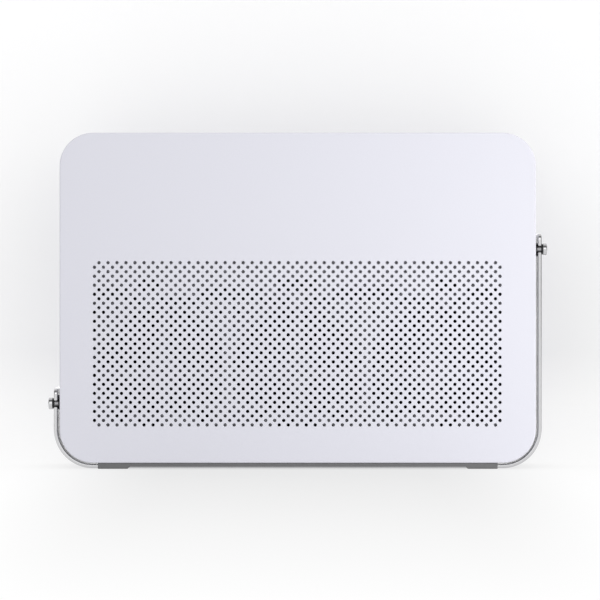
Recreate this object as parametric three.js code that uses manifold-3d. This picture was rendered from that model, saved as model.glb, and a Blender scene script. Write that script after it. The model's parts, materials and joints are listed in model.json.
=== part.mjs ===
// Wireless router: a slim upright enclosure held in a bent metal cradle, with three fans behind
// a front plate. Millimetres, +Z up, the front faces -Y. The origin is on the ground, under the
// middle of the enclosure.

import * as THREE from 'three';
import { mergeVertices } from 'three/addons/utils/BufferGeometryUtils.js';
import Module from 'manifold-3d';

const wasm = await Module();
wasm.setup();

// ---- Driving dimensions ----

const GAP = 0.3; // clearance between neighbouring pieces

// Enclosure
const WIDTH = 248;
const HEIGHT = 171.9;
const DEPTH = 52;
const CORNER = 17.3;
const LIFT = 3.1; // underside of the enclosure above the ground
const WALL = 2;
const PLATE = 2; // thickness of the front panel and the rear cover
const RIM = 1.4; // locating rim behind the front panel

// Cradle
const STRAP = {
  thick: 2, depth: 47, sideGap: 1.25, ground: 0.2, innerRadius: 18.4,
  aboveScrew: 8.1, endRadius: 3, slot: 3.6,
};
const SCREW_Z = { left: 33.8, right: 114.5 };
const SCREW_INSET = 6.2; // from the cradle's front or rear edge to the screw axis

// Clamp screws and washers
const SCREW = { head: 3.2, headLength: 2.1, shoulder: 1.5, thread: 1.45, reach: 6.5 };
const INNER_WASHER = { radius: 3.15, bore: 1.8 };
const OUTER_WASHER = { radius: 2.75, bore: 1.8, thick: 0.9 };
const INSERT = { outer: 2.5, bore: 1.75, length: 6, boss: 3.4, bossLength: 8, pocket: 12 };

// Rubber pad
const PAD = { half: 104.1, footInner: 88.6, front: 25.6, lip: 1.8, lipFoot: 1.05 };
const FOOT_WINDOW = { inner: 90.5, outer: 102.2, halfDepth: 18 };

// Fans: 70 mm square, 15 mm deep
const FAN = {
  pitch: 70.4, z: 49.9, size: 70, depth: 15, bore: 34.1, corner: 4, holeOffset: 30.75,
  hole: 2.15, strut: 4.6, strutDepth: 2, hub: 8.5, post: 3,
};
const ROTOR = {
  hub: 12.5, tip: 32.9, bore: 3.3, cap: 1.2, blades: 7, bladeThick: 1.3,
  tilt: 38, // degrees, blade pitch
  share: 0.86, // part of the rotor's depth that the blades fill
};

// Plate that carries the fans
const BRACKET = { thick: 1.5, inset: 3.8, divider: 36.4, dividerWidth: 4.4, tab: 17.1 };
const BAY = { low: 33.4, lowMiddle: 28.8, high: 85.1, highMiddle: 89.8, side: 107.7 };
const UPPER_SLOT = { low: 87.2, high: 94.3 };
const LOWER_SLOT = { low: 24.1, high: 31.1 };
const CLIP_WINDOW = { lowerTop: 26.2, lowerBottom: 20, upperBottom: 91.9, upperTop: 98.9 };
const CLIP_X = [-77.4, 0, 77.4];
const CLIP = { half: 3, arm: 1.6, lip: 1.4, reach: 1.8 };
const RELIEF = { half: 86, low: 114, high: 160, corner: 6 };
const CLIP_WINDOW_HALF = [5.6, 10.5, 5.6];
const POSTS = [[-109.5, 22], [109.5, 22], [-97, 158], [97, 158]];
const POST = { radius: 2.8, pilot: 1.5, pilotDepth: 8 };

// Circuit board and what sits on it
const BOARD = { front: 15, thick: 1.6, halfWidth: 119, low: 8, high: 169, chamfer: 16, hole: 1.6 };
const CAN = { halfWidth: 24, low: 28, high: 76, thick: 3 };
const SINK = { halfWidth: 95, low: 20, high: 82, base: 2, fins: 20, fin: 1.6, finDepth: 11.9 };

// Sockets on the left side, centred on these heights
const SOCKET_FACE = 0.3; // sockets sit this far inside the outer surface
const LAN = { z: [80.5, 97, 113.5, 130], pitch: 16.5 };
const WAN_Z = 148.5;
const RJ45 = { width: 15.9, depth: 13.5, length: 21, openWidth: 11.8, openDepth: 7.2, reach: 14 };
const LATCH = { width: 6.2, depth: 2.2 };
const USB = { z: 63.5, width: 14.5, depth: 6.8, length: 18, openWidth: 12.6, openDepth: 5.4, reach: 13 };
const DC = { z: 49.5, width: 11, depth: 9, length: 14, bore: 3.2, pin: 1.05, reach: 9 };

// Controls on the left side
const CONTROL_Y = -12;
const PROUD = 0.8;
const POWER = { z: 152.6, tall: 4.1, long: 9, flange: 1.2 };
const WPS = { z: 95.2, radius: 1.65, flange: 2.8 };
const RESET = { z: 74.2, radius: 1.3, flange: 2.5 };
const LAMPS = { z: [130.6, 123.9, 115], radius: 1.25, length: 9.8, bar: 1.2 };
const BUTTON_BOARD = { front: 11, thick: 1.4, half: 6, low: 68, high: 158, switchHalf: 3 };

// Fasteners of the cover and the board
const COVER_POSTS = { inset: 3, radius: 4, front: -10, pilot: 1.6, pilotFront: 8 };
const COVER_SCREW = { head: 2.6, headThick: 1.1, shank: 1.3, length: 10, recess: 1.2 };
const BOARD_SCREW = { head: 2.5, headThick: 2, shank: 1.2, length: 8 };

const ANTENNA = { x: [-60, 0, 60], length: 40, front: -14, rear: -4, thick: 1 };
const AIR_SLOT = { width: 3.6, pitch: 12, count: 17, rows: [[28, 72], [102, 146]] };

// ---- Derived positions ----

const HALF = WIDTH / 2;
const TOP = LIFT + HEIGHT;
const FRONT = -DEPTH / 2;
const REAR = DEPTH / 2;
const SHELL_FRONT = FRONT + PLATE + GAP;
const SHELL_REAR = REAR - PLATE - GAP;
const STRAP_INNER = HALF + STRAP.sideGap;
const STRAP_OUTER = STRAP_INNER + STRAP.thick;
const BRACKET_FRONT = -22.4;
const BRACKET_REAR = BRACKET_FRONT + BRACKET.thick;
const FAN_FRONT = BRACKET_REAR + GAP;
const FAN_REAR = FAN_FRONT + FAN.depth;
const FAN_X = { left: -FAN.pitch, middle: 0, right: FAN.pitch };
const SIDES = { left: -1, right: 1 };
const ENDS = { front: -1, rear: 1 };
const SCREW_Y = STRAP.depth / 2 - SCREW_INSET;

// ---- Finishes ----

const finish = (color, roughness, metalness = 0) =>
  new THREE.MeshStandardMaterial({ color, roughness, metalness });

const LAVENDER_WHITE = finish(0xe4e2ea, 0.75);
const WARM_PLASTIC = finish(0xd9d8dd, 0.6);
const BRUSHED_METAL = finish(0xc9cacd, 0.35, 1);
const POLISHED_METAL = finish(0xe2e2e6, 0.15, 1);
const BLACK_RUBBER = finish(0x1c1c1e, 0.8);
const GREY_RUBBER = finish(0x4a4b4e, 0.85);
const BLACK_PLASTIC = finish(0x202124, 0.5);
const BOARD_GREEN = finish(0x1f5a3a, 0.5);
const BRASS = finish(0xb89a5a, 0.35, 1);
const TINNED_STEEL = finish(0xb9bbbe, 0.3, 1);
const CLEAR = finish(0xf2f4f6, 0.15);
const BLACK_ANODISED = finish(0x17181a, 0.6, 1);

// ---- Outlines ----

function roundedRect(x0, y0, x1, y1, radius) {
  const shape = new THREE.Shape();
  shape.moveTo(x0 + radius, y0);
  shape.absarc(x1 - radius, y0 + radius, radius, -Math.PI / 2, 0);
  shape.absarc(x1 - radius, y1 - radius, radius, 0, Math.PI / 2);
  shape.absarc(x0 + radius, y1 - radius, radius, Math.PI / 2, Math.PI);
  shape.absarc(x0 + radius, y0 + radius, radius, Math.PI, 1.5 * Math.PI);
  return shape;
}

// The enclosure's front outline, moved inwards by an inset.
const enclosureOutline = (inset) =>
  roundedRect(-HALF + inset, LIFT + inset, HALF - inset, TOP - inset, CORNER - inset);

function circle(x, y, radius) {
  const shape = new THREE.Shape();
  shape.absarc(x, y, radius, 0, 2 * Math.PI);
  return shape;
}

function withHoles(shape, holes) {
  shape.holes.push(...holes);
  return shape;
}

const polygon = (points) => new THREE.Shape(points.map(([x, y]) => new THREE.Vector2(x, y)));

// ---- Solids ----

// An outline in X and Z, with its thickness along Y.
function slabY(shape, y0, y1, curveSegments = 4) {
  const settings = { depth: y1 - y0, bevelEnabled: false, curveSegments };
  const geometry = new THREE.ExtrudeGeometry(shape, settings);
  return geometry.rotateX(Math.PI / 2).translate(0, y1, 0);
}

// An outline in Y and Z, with its thickness along X.
function slabX(shape, x0, x1, curveSegments = 3) {
  const settings = { depth: x1 - x0, bevelEnabled: false, curveSegments };
  const geometry = new THREE.ExtrudeGeometry(shape, settings);
  const turn = new THREE.Matrix4().makeBasis(
    new THREE.Vector3(0, 1, 0), new THREE.Vector3(0, 0, 1), new THREE.Vector3(1, 0, 0));
  return geometry.applyMatrix4(turn).translate(x0, 0, 0);
}

function box(x0, y0, z0, x1, y1, z1) {
  return new THREE.BoxGeometry(x1 - x0, y1 - y0, z1 - z0)
    .translate((x0 + x1) / 2, (y0 + y1) / 2, (z0 + z1) / 2);
}

function rodX(radius, x0, x1, y, z, segments = 16) {
  return new THREE.CylinderGeometry(radius, radius, x1 - x0, segments)
    .rotateZ(-Math.PI / 2).translate((x0 + x1) / 2, y, z);
}

function rodY(radius, y0, y1, x, z, segments = 16) {
  return new THREE.CylinderGeometry(radius, radius, y1 - y0, segments).translate(x, (y0 + y1) / 2, z);
}

// A turned piece. The profile lists [radius, distance]; the distance runs along X, away from
// the enclosure on the given side.
function turnedX(profile, side, x, y, z, segments = 16) {
  const points = profile.map(([radius, along]) => new THREE.Vector2(radius, along));
  return new THREE.LatheGeometry(points, segments)
    .rotateZ(-side * Math.PI / 2).translate(side * x, y, z);
}

// A turned piece whose distance runs along +Y.
function turnedY(profile, x, y, z, segments = 16) {
  const points = profile.map(([radius, along]) => new THREE.Vector2(radius, along));
  return new THREE.LatheGeometry(points, segments).translate(x, y, z);
}

function solid(geometry) {
  const bare = geometry.clone();
  bare.deleteAttribute('normal');
  bare.deleteAttribute('uv');
  const merged = mergeVertices(bare, 1e-4);
  return new wasm.Manifold(new wasm.Mesh({
    numProp: 3,
    vertProperties: Float32Array.from(merged.attributes.position.array),
    triVerts: Uint32Array.from(merged.index.array),
  }));
}

function geometryOf(manifold) {
  const mesh = manifold.getMesh();
  const geometry = new THREE.BufferGeometry();
  const positions = Float32Array.from(mesh.vertProperties);
  geometry.setAttribute('position', new THREE.BufferAttribute(positions, 3));
  geometry.setIndex(new THREE.BufferAttribute(Uint32Array.from(mesh.triVerts), 1));
  geometry.computeVertexNormals();
  return geometry;
}

const join = (...pieces) => pieces.map(solid).reduce((whole, piece) => whole.add(piece));

// The pieces joined into one, less the cuts.
function shaped(pieces, cuts = []) {
  const whole = join(...pieces);
  return geometryOf(cuts.length ? whole.subtract(join(...cuts)) : whole);
}

const router = new THREE.Group();
router.name = 'wireless_router';

function place(name, geometry, material) {
  const mesh = new THREE.Mesh(geometry, material);
  mesh.name = name;
  router.add(mesh);
}

// ---- Enclosure ----

// Flat plate with a shallow rim behind it that drops inside the shell.
function frontPanel() {
  const rim = withHoles(enclosureOutline(WALL + GAP), [enclosureOutline(WALL + GAP + 1.2)]);
  return shaped([
    slabY(enclosureOutline(0), FRONT, FRONT + PLATE),
    slabY(rim, FRONT + PLATE - 0.5, FRONT + PLATE + RIM),
  ]);
}

// The four inside corners where the rear cover's screws go.
function coverPosts() {
  const toPost = (CORNER - WALL - COVER_POSTS.inset) / Math.SQRT2;
  const x = HALF - CORNER + toPost;
  return [LIFT + CORNER - toPost, TOP - CORNER + toPost].flatMap((z) => [[-x, z], [x, z]]);
}

const everyClamp = () => Object.entries(SIDES).flatMap(([sideName, side]) =>
  Object.entries(ENDS).map(([endName, end]) => ({
    name: sideName + '_' + endName, side, y: end * SCREW_Y, z: SCREW_Z[sideName],
  })));

const socketCut = (z, width, y0, y1) =>
  box(-HALF - 1, y0 - GAP, z - width / 2 - GAP, -HALF + WALL + 1, y1 + GAP, z + width / 2 + GAP);

const boardFace = BOARD.front - GAP;

function bodyShell() {
  const wall = withHoles(enclosureOutline(0), [enclosureOutline(WALL)]);
  const posts = coverPosts().map(([x, z]) => (
    rodY(COVER_POSTS.radius, COVER_POSTS.front, SHELL_REAR, x, z)));
  const { boss, bossLength, pocket } = INSERT;
  const bosses = everyClamp().map(({ side, y, z }) => (
    turnedX([[0, -bossLength], [boss, -bossLength], [boss, 0], [0, 0]], side, HALF - WALL + 0.5, y, z)));
  const pilots = coverPosts().map(([x, z]) => (
    rodY(COVER_POSTS.pilot, COVER_POSTS.pilotFront, SHELL_REAR + 1, x, z, 10)));
  const wide = INSERT.outer + GAP;
  const inserts = everyClamp().map(({ side, y, z }) => (
    turnedX([[0, -pocket], [wide, -pocket], [wide, 3], [0, 3]], side, HALF, y, z, 12)));
  const lanHeight = LAN.pitch * LAN.z.length - 0.6;
  const sockets = [
    socketCut((LAN.z[0] + LAN.z.at(-1)) / 2, lanHeight, boardFace - RJ45.depth, boardFace),
    socketCut(WAN_Z, RJ45.width, boardFace - RJ45.depth, boardFace),
    socketCut(USB.z, USB.width, boardFace - USB.depth, boardFace),
    socketCut(DC.z, DC.width, boardFace - DC.depth, boardFace),
  ];
  const through = (radius, z) => rodX(radius + GAP, -HALF - 1, -HALF + WALL + 1, CONTROL_Y, z);
  const controls = [
    slabX(powerOutline(GAP), -HALF - 1, -HALF + WALL + 1),
    through(WPS.radius, WPS.z),
    through(RESET.radius, RESET.z),
    ...LAMPS.z.map((z) => through(LAMPS.radius, z)),
  ];
  return shaped([slabY(wall, SHELL_FRONT, SHELL_REAR), ...posts, ...bosses],
    [...pilots, ...inserts, ...sockets, ...controls]);
}

function rearCover() {
  const reach = (AIR_SLOT.count - 1) * AIR_SLOT.pitch / 2;
  const half = AIR_SLOT.width / 2;
  const columns = Array.from({ length: AIR_SLOT.count }, (_, i) => i * AIR_SLOT.pitch - reach);
  const slots = AIR_SLOT.rows.flatMap(([low, high]) => columns.map((x) => (
    slabY(roundedRect(x - half, low, x + half, high, half), REAR - PLATE - 1, REAR + 1, 1))));
  const screwHoles = coverPosts().flatMap(([x, z]) => [
    rodY(COVER_SCREW.shank + GAP, REAR - PLATE - 1, REAR + 1, x, z, 12),
    rodY(COVER_SCREW.head + GAP, REAR - COVER_SCREW.recess, REAR + 1, x, z),
  ]);
  const cover = solid(slabY(enclosureOutline(0), REAR - PLATE, REAR));
  return geometryOf(cover.subtract(join(...slots, ...screwHoles)));
}

const screwProfile = (head, headThick, shank, length) => [
  [0, -length], [shank, -length], [shank, 0], [head, 0], [head, headThick], [0, headThick],
];

function coverScrew([x, z]) {
  const { head, headThick, shank, length } = COVER_SCREW;
  const profile = screwProfile(head, headThick, shank, length);
  return turnedY(profile, x, REAR - headThick - 0.05, z, 12);
}

// ---- Fans and the plate that carries them ----

function bay(x, left, right) {
  return polygon([
    [left, BAY.low], [x - BRACKET.tab, BAY.low], [x - BRACKET.tab, BAY.lowMiddle],
    [x + BRACKET.tab, BAY.lowMiddle], [x + BRACKET.tab, BAY.low], [right, BAY.low],
    [right, BAY.high], [x + BRACKET.tab, BAY.high], [x + BRACKET.tab, BAY.highMiddle],
    [x - BRACKET.tab, BAY.highMiddle], [x - BRACKET.tab, BAY.high], [left, BAY.high],
  ]);
}

const rect = (x0, z0, x1, z1) => polygon([[x0, z0], [x1, z0], [x1, z1], [x0, z1]]);

// One clip above or below a fan: a lug on the plate, an arm along the fan and a lip behind it.
function fanClip(x, up) {
  const edge = FAN.z + up * (FAN.size / 2 + 0.4);
  const reach = up > 0 ? BAY.highMiddle : BAY.lowMiddle;
  const [x0, x1] = [x - CLIP.half, x + CLIP.half];
  const rear = FAN_REAR + CLIP.reach;
  const [arm0, arm1] = [edge, edge + up * CLIP.arm].sort((a, b) => a - b);
  const [lip0, lip1] = [edge - up * CLIP.lip, edge + up * CLIP.arm].sort((a, b) => a - b);
  const pieces = [
    box(x0, BRACKET_REAR - 0.5, arm0, x1, rear, arm1),
    box(x0, FAN_REAR + 0.4, lip0, x1, rear, lip1),
  ];
  const lug = [edge, reach + up * 1.5].sort((a, b) => a - b);
  return up > 0 ? [...pieces, box(x0, BRACKET_FRONT, lug[0], x1, BRACKET_REAR, lug[1])] : pieces;
}

function fanBracket() {
  const inner = BRACKET.divider - BRACKET.dividerWidth / 2;
  const outer = BRACKET.divider + BRACKET.dividerWidth / 2;
  const bays = [
    bay(-FAN.pitch, -BAY.side, -outer), bay(0, -inner, inner), bay(FAN.pitch, outer, BAY.side),
  ];
  const slotSpans = [-1.5, -0.5, 0.5, 1.5].map((step) => {
    const from = step * FAN.pitch - FAN.pitch / 2 + BRACKET.tab + 1.2;
    return [Math.max(from, -BAY.side), Math.min(from + FAN.pitch - 2 * (BRACKET.tab + 1.2), BAY.side)];
  });
  const slots = slotSpans.flatMap(([x0, x1]) => [
    rect(x0, UPPER_SLOT.low, x1, UPPER_SLOT.high), rect(x0, LOWER_SLOT.low, x1, LOWER_SLOT.high),
  ]);
  const { lowerTop, lowerBottom, upperBottom, upperTop } = CLIP_WINDOW;
  const windows = CLIP_X.flatMap((x, i) => {
    const half = CLIP_WINDOW_HALF[i];
    return [rect(x - half, upperBottom, x + half, upperTop), rect(x - half, lowerBottom, x + half, lowerTop)];
  });
  const relief = roundedRect(-RELIEF.half, RELIEF.low, RELIEF.half, RELIEF.high, RELIEF.corner);
  const openings = [...bays, ...slots, ...windows, relief].map((outline) => (
    slabY(outline, BRACKET_FRONT - 1, BRACKET_REAR + 1, 2)));
  const clips = CLIP_X.flatMap((x) => [...fanClip(x, 1), ...fanClip(x, -1)]);
  const posts = POSTS.map(([x, z]) => rodY(POST.radius, BRACKET_REAR - 0.5, boardFace, x, z, 12));
  const pilotFront = boardFace - POST.pilotDepth;
  const pilots = POSTS.map(([x, z]) => rodY(POST.pilot, pilotFront, boardFace + 1, x, z, 8));
  const plate = solid(slabY(enclosureOutline(BRACKET.inset), BRACKET_FRONT, BRACKET_REAR, 3));
  const whole = plate.subtract(join(...openings)).add(join(...clips, ...posts));
  return geometryOf(whole.subtract(join(...pilots)));
}

// A square frame with a round opening, and a cross of struts in front that carries the bearing.
function fanFrame(x) {
  const h = FAN.size / 2;
  const holes = [-1, 1].flatMap((sx) => [-1, 1].map((sz) => (
    rodY(FAN.hole, FAN_FRONT - 1, FAN_REAR + 1, x + sx * FAN.holeOffset, FAN.z + sz * FAN.holeOffset, 8))));
  const square = roundedRect(x - h, FAN.z - h, x + h, FAN.z + h, FAN.corner);
  const opening = rodY(FAN.bore, FAN_FRONT - 1, FAN_REAR + 1, x, FAN.z, 40);
  const arm = FAN.bore + 0.5;
  const s = FAN.strut / 2;
  const strutRear = FAN_FRONT + FAN.strutDepth;
  const cross = join(
    box(x - arm, FAN_FRONT, FAN.z - s, x + arm, strutRear, FAN.z + s),
    box(x - s, FAN_FRONT, FAN.z - arm, x + s, strutRear, FAN.z + arm),
    rodY(FAN.hub, FAN_FRONT, strutRear, x, FAN.z, 20),
    rodY(FAN.post, strutRear - 0.5, strutRear + 9, x, FAN.z, 12),
  );
  const frame = join(slabY(square, FAN_FRONT, FAN_REAR, 1)).subtract(join(opening, ...holes));
  return geometryOf(frame.add(cross));
}

// A cup that turns on the bearing post, with tilted blades round it.
function fanRotor(x) {
  const front = FAN_FRONT + FAN.strutDepth + 0.5;
  const rear = FAN_REAR - 0.6;
  const { hub, tip, bore, cap, share } = ROTOR;
  const cup = turnedY([
    [0, rear - cap], [bore, rear - cap], [bore, front], [hub, front], [hub, rear], [0, rear],
  ], x, 0, FAN.z, 24);
  const middle = (front + rear) / 2;
  const tilt = THREE.MathUtils.degToRad(ROTOR.tilt);
  const length = (rear - front) / Math.cos(tilt) * share;
  const blades = Array.from({ length: ROTOR.blades }, (_, i) => {
    const blade = new THREE.BoxGeometry(tip - hub + 1, length, ROTOR.bladeThick);
    blade.rotateX(tilt);
    blade.translate((tip + hub - 1) / 2, 0, 0);
    return blade.rotateY(i * 2 * Math.PI / ROTOR.blades).translate(x, middle, FAN.z);
  });
  const rim = solid(rodY(tip, front, rear, x, FAN.z, 36));
  const core = solid(rodY(hub - 1, front - 1, rear + 1, x, FAN.z, 24));
  return geometryOf(join(...blades).intersect(rim).subtract(core).add(solid(cup)));
}

// A round lead along a smooth curve through its points.
function lead(points, radius, steps) {
  const section = circle(0, 0, radius);
  const extrudePath = new THREE.CatmullRomCurve3(points.map((p) => new THREE.Vector3(...p)));
  return new THREE.ExtrudeGeometry(section, { extrudePath, steps, bevelEnabled: false, curveSegments: 4 });
}

const fanLead = (x) => lead([
  [x + 31, FAN_REAR + 1.6, FAN.z + 33], [x + 31, 0, 89], [x + 31, 9, 94], [x + 31, boardFace - GAP, 97],
], 1, 8);

// ---- Electronics ----

function mainBoard() {
  const { halfWidth: w, low, high, chamfer: c } = BOARD;
  const outline = polygon([
    [-w + c, low], [w - c, low], [w, low + c], [w, high - c],
    [w - c, high], [-w + c, high], [-w, high - c], [-w, low + c],
  ]);
  const holes = POSTS.map(([x, z]) => circle(x, z, BOARD.hole));
  const plate = slabY(withHoles(outline, holes), BOARD.front, BOARD.front + BOARD.thick, 4);
  const notches = Object.entries(SIDES).map(([name, side]) => {
    const [x0, x1] = [side * (HALF - WALL - 8), side * HALF].sort((a, b) => a - b);
    const reach = INSERT.boss + 1;
    const z = SCREW_Z[name];
    return box(x0, BOARD.front - 1, z - reach, x1, BOARD.front + BOARD.thick + 1, z + reach);
  });
  return shaped([plate], notches);
}

function boardScrew([x, z]) {
  const { head, headThick, shank, length } = BOARD_SCREW;
  const profile = screwProfile(head, headThick, shank, length);
  return turnedY(profile, x, BOARD.front + BOARD.thick + 0.1, z, 12);
}

function heatSink() {
  const rear = boardFace - CAN.thick - GAP;
  const base = box(-SINK.halfWidth, rear - SINK.base, SINK.low, SINK.halfWidth, rear, SINK.high);
  const pitch = (2 * SINK.halfWidth - SINK.fin) / (SINK.fins - 1);
  const root = rear - SINK.base;
  const fins = Array.from({ length: SINK.fins }, (_, i) => {
    const x = -SINK.halfWidth + i * pitch;
    return box(x, root - SINK.finDepth, SINK.low, x + SINK.fin, root + 0.5, SINK.high);
  });
  return shaped([base, ...fins]);
}

const socketX = -HALF + SOCKET_FACE;

// A modular jack housing with one opening at each height.
function modularJack(heights, low, high) {
  const y0 = boardFace - RJ45.depth;
  const openings = heights.flatMap((z) => {
    const front = y0 + 1.6;
    const x0 = socketX - 1;
    const x1 = socketX + RJ45.reach;
    return [
      box(x0, front, z - RJ45.openWidth / 2, x1, front + RJ45.openDepth, z + RJ45.openWidth / 2),
      box(x0, front + RJ45.openDepth - 0.5, z - LATCH.width / 2, x1,
        front + RJ45.openDepth + LATCH.depth, z + LATCH.width / 2),
    ];
  });
  return shaped([box(socketX, y0, low, socketX + RJ45.length, boardFace, high)], openings);
}

function usbPort() {
  const y0 = boardFace - USB.depth;
  const wall = (USB.depth - USB.openDepth) / 2;
  const [half, open] = [USB.width / 2, USB.openWidth / 2];
  const block = box(socketX, y0, USB.z - half, socketX + USB.length, boardFace, USB.z + half);
  const inside = socketX + USB.reach;
  const mouth = box(socketX - 1, y0 + wall, USB.z - open, inside, boardFace - wall, USB.z + open);
  return shaped([block], [mouth]);
}

function powerJack() {
  const y = boardFace - DC.depth / 2;
  const body = solid(box(socketX, boardFace - DC.depth, DC.z - DC.width / 2, socketX + DC.length,
    boardFace, DC.z + DC.width / 2));
  const bore = solid(rodX(DC.bore, socketX - 1, socketX + DC.reach, y, DC.z));
  const pin = solid(rodX(DC.pin, socketX + 1, socketX + DC.reach + 1, y, DC.z, 10));
  return geometryOf(body.subtract(bore).add(pin));
}

// ---- Controls on the left side ----

const powerOutline = (grow) => roundedRect(
  CONTROL_Y - POWER.long / 2 - grow, POWER.z - POWER.tall / 2 - grow,
  CONTROL_Y + POWER.long / 2 + grow, POWER.z + POWER.tall / 2 + grow, POWER.tall / 2 + grow - 0.01);

const FLANGE_X = -HALF + WALL + GAP;
const STEM_END = -HALF + 5.1;

function powerButton() {
  return shaped([
    slabX(powerOutline(0), -HALF - PROUD, FLANGE_X + 0.5),
    slabX(powerOutline(POWER.flange), FLANGE_X, FLANGE_X + 1),
    rodX(1.5, FLANGE_X + 0.5, STEM_END, CONTROL_Y, POWER.z, 12),
  ]);
}

function roundButton({ z, radius, flange }) {
  return shaped([
    rodX(radius, -HALF - PROUD, FLANGE_X + 0.5, CONTROL_Y, z),
    rodX(flange, FLANGE_X, FLANGE_X + 1, CONTROL_Y, z),
    rodX(1.2, FLANGE_X + 0.5, STEM_END, CONTROL_Y, z, 12),
  ]);
}

// Three lamp rods on one bar, moulded together.
function lightGuide() {
  const face = -HALF - PROUD;
  const rods = LAMPS.z.map((z) => rodX(LAMPS.radius, face, face + LAMPS.length, CONTROL_Y, z));
  const [low, high] = [LAMPS.z.at(-1) - 1, LAMPS.z[0] + 1];
  const bar = box(-HALF + 5, CONTROL_Y - LAMPS.bar, low, -HALF + 6.5, CONTROL_Y + LAMPS.bar, high);
  return shaped([...rods, bar]);
}

function buttonBoard() {
  const { front, thick, half, low, high, switchHalf: s } = BUTTON_BOARD;
  const face = -HALF + front;
  const plate = box(face, CONTROL_Y - half, low, face + thick, CONTROL_Y + half, high);
  const switches = [POWER.z, WPS.z, RESET.z].map((z) => (
    box(STEM_END + 0.7, CONTROL_Y - s, z - s, face + 0.5, CONTROL_Y + s, z + s)));
  const lamps = LAMPS.z.map((z) => box(face - 1, CONTROL_Y - 1, z - 1, face + 0.5, CONTROL_Y + 1, z + 1));
  return shaped([plate, ...switches, ...lamps]);
}

// ---- Antennas ----

const ANTENNA_TOP = TOP - WALL - 0.4;

const antenna = (x) => box(x - ANTENNA.length / 2, ANTENNA.front, ANTENNA_TOP - ANTENNA.thick,
  x + ANTENNA.length / 2, ANTENNA.rear, ANTENNA_TOP);

const antennaLead = (x) => lead([
  [x, -9, ANTENNA_TOP - ANTENNA.thick - 1.2], [x + 3, -3, 165],
  [x + 6, 7, 156], [x + 6, boardFace - GAP, 148],
], 0.6, 8);

// ---- Cradle, pad and clamps ----

// The band seen from the front, from the tip on the left, under the router, to the tip on the right.
function strapOutline() {
  const { thick, ground, innerRadius: r, aboveScrew } = STRAP;
  const [leftTip, rightTip] = [SCREW_Z.left + aboveScrew, SCREW_Z.right + aboveScrew];
  const centreX = STRAP_INNER - r;
  const centreZ = ground + thick + r;
  const shape = new THREE.Shape();
  shape.moveTo(-STRAP_OUTER, leftTip);
  shape.absarc(-centreX, centreZ, r + thick, Math.PI, 1.5 * Math.PI);
  shape.absarc(centreX, centreZ, r + thick, 1.5 * Math.PI, 2 * Math.PI);
  shape.lineTo(STRAP_OUTER, rightTip);
  shape.lineTo(STRAP_INNER, rightTip);
  shape.absarc(centreX, centreZ, r, 0, -Math.PI / 2, true);
  shape.absarc(-centreX, centreZ, r, -Math.PI / 2, -Math.PI, true);
  shape.lineTo(-STRAP_INNER, leftTip);
  return shape;
}

function standStrap() {
  const h = STRAP.depth / 2;
  const band = solid(slabY(strapOutline(), -h, h));
  const ends = Object.entries(SIDES).map(([name, side]) => {
    const outline = roundedRect(-h, -20, h, SCREW_Z[name] + STRAP.aboveScrew, STRAP.endRadius);
    return side < 0 ? slabX(outline, -STRAP_OUTER - 1, 0) : slabX(outline, 0, STRAP_OUTER + 1);
  });
  const slots = everyClamp().flatMap(({ side, y, z }) => {
    const [x0, x1] = [side * (STRAP_INNER - 1), side * (STRAP_OUTER + 1)].sort((a, b) => a - b);
    const [y0, y1] = [y, Math.sign(y) * (h + 1)].sort((a, b) => a - b);
    const half = STRAP.slot / 2;
    return [rodX(half, x0, x1, y, z), box(x0, y0, z - half, x1, y1, z + half)];
  });
  const windows = [-1, 1].map((side) => {
    const [x0, x1] = [side * FOOT_WINDOW.inner, side * FOOT_WINDOW.outer].sort((a, b) => a - b);
    return box(x0, -FOOT_WINDOW.halfDepth, -1, x1, FOOT_WINDOW.halfDepth, LIFT);
  });
  return geometryOf(band.intersect(join(...ends)).subtract(join(...slots, ...windows)));
}

// A thin sheet on the cradle with a lip over each long edge, and feet at both ends that reach
// the ground through the cradle's windows and past its edges.
function basePad() {
  const top = LIFT - 0.1;
  const sheetLow = STRAP.ground + STRAP.thick + 0.1;
  const sheet = box(-PAD.half, -PAD.front, sheetLow, PAD.half, PAD.front, top);
  const lips = [-1, 1].map((end) => {
    const [y0, y1] = [end * (PAD.front - PAD.lip), end * PAD.front].sort((a, b) => a - b);
    const outline = polygon([
      [-PAD.half, 0], [-PAD.footInner, 0], [-PAD.footInner + PAD.lipFoot, PAD.lipFoot],
      [PAD.footInner - PAD.lipFoot, PAD.lipFoot], [PAD.footInner, 0], [PAD.half, 0],
      [PAD.half, top], [-PAD.half, top],
    ]);
    return slabY(outline, y0, y1);
  });
  const feet = [-1, 1].map((side) => {
    const ends = [side * (FOOT_WINDOW.inner + GAP), side * (FOOT_WINDOW.outer - GAP)];
    const [x0, x1] = ends.sort((a, b) => a - b);
    const depth = FOOT_WINDOW.halfDepth - GAP;
    return box(x0, -depth, 0, x1, depth, sheetLow + 0.2);
  });
  return shaped([sheet, ...lips, ...feet]);
}

const ring = (bore, radius, x0, x1) => [[bore, x0], [radius, x0], [radius, x1], [bore, x1], [bore, x0]];

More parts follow.
